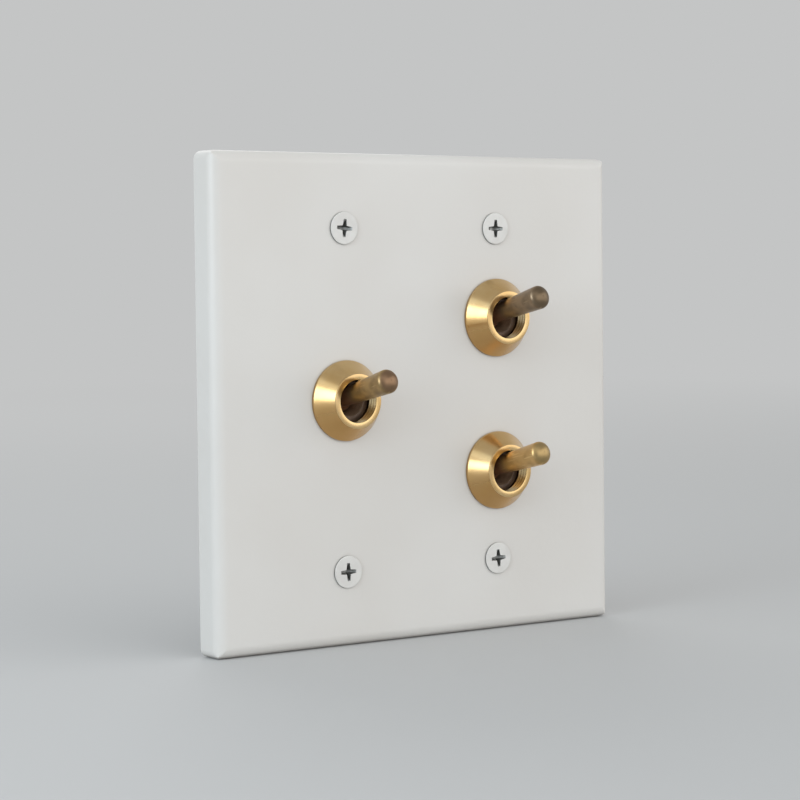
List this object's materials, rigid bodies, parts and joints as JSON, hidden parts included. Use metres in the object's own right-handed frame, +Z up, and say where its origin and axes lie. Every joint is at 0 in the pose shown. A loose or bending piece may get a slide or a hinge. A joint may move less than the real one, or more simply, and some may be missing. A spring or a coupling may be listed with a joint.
{
  "type": "toggle light switch",
  "caption": "Square painted wall plate with brass bat-lever toggle switches in conical bezel nuts, each with a sprung plunger, rocker contacts and screw terminals behind the plate.",
  "frame": {"origin": "centre of the plate's rear rim, on the wall plane", "axes": "+Z up, +X to the right seen from the front, -Y out of the wall towards the user"},
  "size_m": [0.12, 0.0532, 0.12],
  "materials": {
    "white_enamel": "semi-gloss white enamel",
    "screw_enamel": "white enamel, chipped in the recess",
    "turned_brass": "satin, fine turning lines",
    "aged_brass": "handled, browned",
    "nickel_plate": "dull nickel",
    "zinc_steel": "zinc plated",
    "spring_steel": "bright",
    "phenolic": "moulded",
    "nylon": "moulded",
    "copper_alloy": "stamped",
    "silver_contact": "coined",
    "terminal_brass": "stamped"
  },
  "bodies": {
    "plate": {"wall_plate": "white_enamel", "plate_screws": "screw_enamel", "left_bezel_nut": "turned_brass", "left_lock_washer": "spring_steel", "left_back_nut": "nickel_plate", "left_bushing": "nickel_plate", "left_pivot_pin": "spring_steel", "left_steel_frame": "zinc_steel", "left_switch_case": "phenolic", "left_fixed_contacts": "silver_contact", "left_common_terminal": "terminal_brass", "left_first_terminal": "terminal_brass", "left_second_terminal": "terminal_brass", "left_terminal_screws": "nickel_plate", "upper_bezel_nut": "turned_brass", "upper_lock_washer": "spring_steel", "upper_back_nut": "nickel_plate", "upper_bushing": "nickel_plate", "upper_pivot_pin": "spring_steel", "upper_steel_frame": "zinc_steel", "upper_switch_case": "phenolic", "upper_fixed_contacts": "silver_contact", "upper_common_terminal": "terminal_brass", "upper_first_terminal": "terminal_brass", "upper_second_terminal": "terminal_brass", "upper_terminal_screws": "nickel_plate", "lower_bezel_nut": "turned_brass", "lower_lock_washer": "spring_steel", "lower_back_nut": "nickel_plate", "lower_bushing": "nickel_plate", "lower_pivot_pin": "spring_steel", "lower_steel_frame": "zinc_steel", "lower_switch_case": "phenolic", "lower_fixed_contacts": "silver_contact", "lower_common_terminal": "terminal_brass", "lower_first_terminal": "terminal_brass", "lower_second_terminal": "terminal_brass", "lower_terminal_screws": "nickel_plate"},
    "left_lever_body": {"left_lever": "aged_brass", "left_plunger_spring": "spring_steel"},
    "left_plunger_body": {"left_plunger": "nylon"},
    "left_rocker_body": {"left_rocker": "copper_alloy", "left_moving_contacts": "silver_contact"},
    "upper_lever_body": {"upper_lever": "aged_brass", "upper_plunger_spring": "spring_steel"},
    "upper_plunger_body": {"upper_plunger": "nylon"},
    "upper_rocker_body": {"upper_rocker": "copper_alloy", "upper_moving_contacts": "silver_contact"},
    "lower_lever_body": {"lower_lever": "aged_brass", "lower_plunger_spring": "spring_steel"},
    "lower_plunger_body": {"lower_plunger": "nylon"},
    "lower_rocker_body": {"lower_rocker": "copper_alloy", "lower_moving_contacts": "silver_contact"}
  },
  "joints": [
    {"name": "left_lever_toggle", "type": "hinge", "parent": "plate", "child": "left_lever_body", "pos_m": [-0.023, -0.0044, 0], "axis": [1, 0, 0], "range_deg": [0, 27]},
    {"name": "left_plunger_stroke", "type": "slide", "parent": "left_lever_body", "child": "left_plunger_body", "axis": [0, -0.9724, 0.2334], "range_m": [0, 0.0006], "stiffness_N_per_m": 200, "deforming": ["left_plunger_spring"]},
    {"name": "left_rocker_tilt", "type": "hinge", "parent": "plate", "child": "left_rocker_body", "pos_m": [-0.023, 0.0105, 0], "axis": [1, 0, 0], "range_deg": [-16, 0]},
    {"name": "upper_lever_toggle", "type": "hinge", "parent": "plate", "child": "upper_lever_body", "pos_m": [0.023, -0.0044, 0.0193], "axis": [1, 0, 0], "range_deg": [0, 27]},
    {"name": "upper_plunger_stroke", "type": "slide", "parent": "upper_lever_body", "child": "upper_plunger_body", "axis": [0, -0.9724, 0.2334], "range_m": [0, 0.0006], "stiffness_N_per_m": 200, "deforming": ["upper_plunger_spring"]},
    {"name": "upper_rocker_tilt", "type": "hinge", "parent": "plate", "child": "upper_rocker_body", "pos_m": [0.023, 0.0105, 0.0193], "axis": [1, 0, 0], "range_deg": [-16, 0]},
    {"name": "lower_lever_toggle", "type": "hinge", "parent": "plate", "child": "lower_lever_body", "pos_m": [0.023, -0.0044, -0.0193], "axis": [1, 0, 0], "range_deg": [0, 27]},
    {"name": "lower_plunger_stroke", "type": "slide", "parent": "lower_lever_body", "child": "lower_plunger_body", "axis": [0, -0.9724, 0.2334], "range_m": [0, 0.0006], "stiffness_N_per_m": 200, "deforming": ["lower_plunger_spring"]},
    {"name": "lower_rocker_tilt", "type": "hinge", "parent": "plate", "child": "lower_rocker_body", "pos_m": [0.023, 0.0105, -0.0193], "axis": [1, 0, 0], "range_deg": [-16, 0]}
  ],
  "couplings": [
    {"joint": "left_rocker_tilt", "follows": "left_lever_toggle", "ratio": -0.5925},
    {"joint": "upper_rocker_tilt", "follows": "upper_lever_toggle", "ratio": -0.5925},
    {"joint": "lower_rocker_tilt", "follows": "lower_lever_toggle", "ratio": -0.5925}
  ]
}
